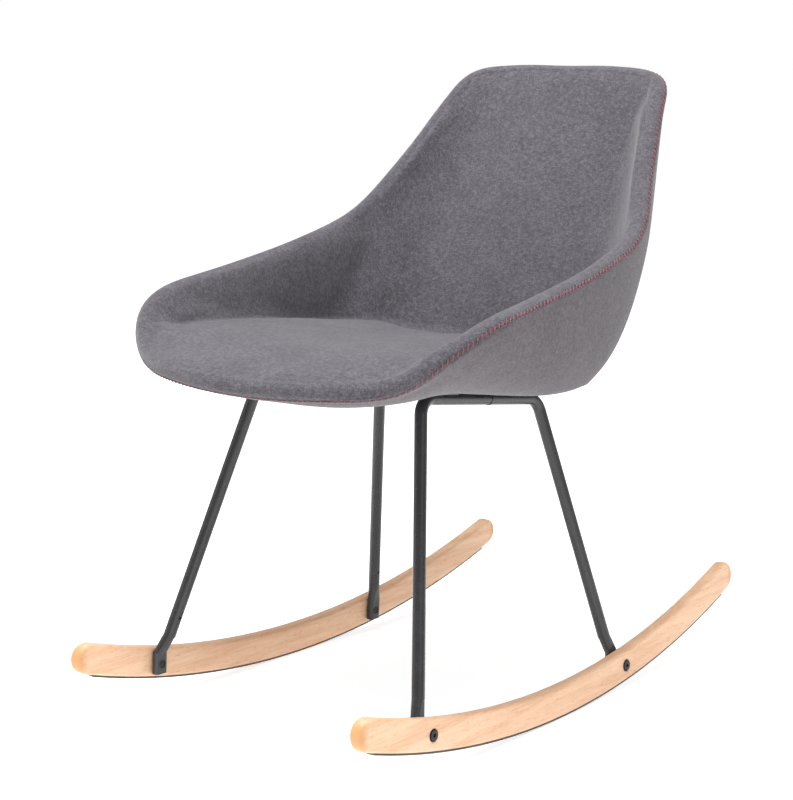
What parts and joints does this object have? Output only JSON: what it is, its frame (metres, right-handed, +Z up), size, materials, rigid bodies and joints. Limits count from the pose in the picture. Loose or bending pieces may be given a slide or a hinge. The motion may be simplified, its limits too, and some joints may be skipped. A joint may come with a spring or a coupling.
{
  "type": "rocking chair",
  "caption": "Upholstered bucket chair with low sloping arms on bent round-tube legs that stand on curved wooden rockers.",
  "frame": {"origin": "on the floor, at the middle of the box round the chair, which is midway between the rockers' front and rear ends; the rockers touch the floor 16 mm in front of it", "axes": "+Z up, the chair's front faces -Y, +X is the sitter's left"},
  "size_m": [0.549, 0.8627, 0.8216],
  "materials": {
    "plywood": "moulded veneer",
    "base_cloth": "black dust cloth glued on board",
    "foam": "open cell",
    "felt_inner": "heathered wool felt",
    "felt_outer": "heathered wool felt",
    "red_thread": "twisted thread",
    "zinc_steel": "zinc plated",
    "black_steel": "black oxide",
    "rubber": "matte",
    "powder_coat": "satin charcoal powder coat",
    "beech": "clear matte lacquer",
    "glide": "matte felt-faced rubber"
  },
  "bodies": {
    "root": {"shell_core": "plywood", "base_board": "base_cloth", "seat_foam": "foam", "wall_foam": "foam", "outer_foam": "foam", "inner_cover": "felt_inner", "outer_cover": "felt_outer", "seam_thread": "red_thread", "cover_staples": "zinc_steel", "t_nuts": "zinc_steel", "seat_screws": "black_steel", "screw_washers": "zinc_steel", "plate_pads": "rubber", "front_seat_plate": "powder_coat", "rear_seat_plate": "powder_coat", "plate_welds": "powder_coat", "left_side_frame": "powder_coat", "right_side_frame": "powder_coat", "rail_joints": "powder_coat", "leg_bushes": "zinc_steel", "left_rocker": "beech", "right_rocker": "beech", "left_glide_strip": "glide", "right_glide_strip": "glide", "rocker_bolts": "black_steel", "rocker_washers": "black_steel"}
  },
  "joints": []
}
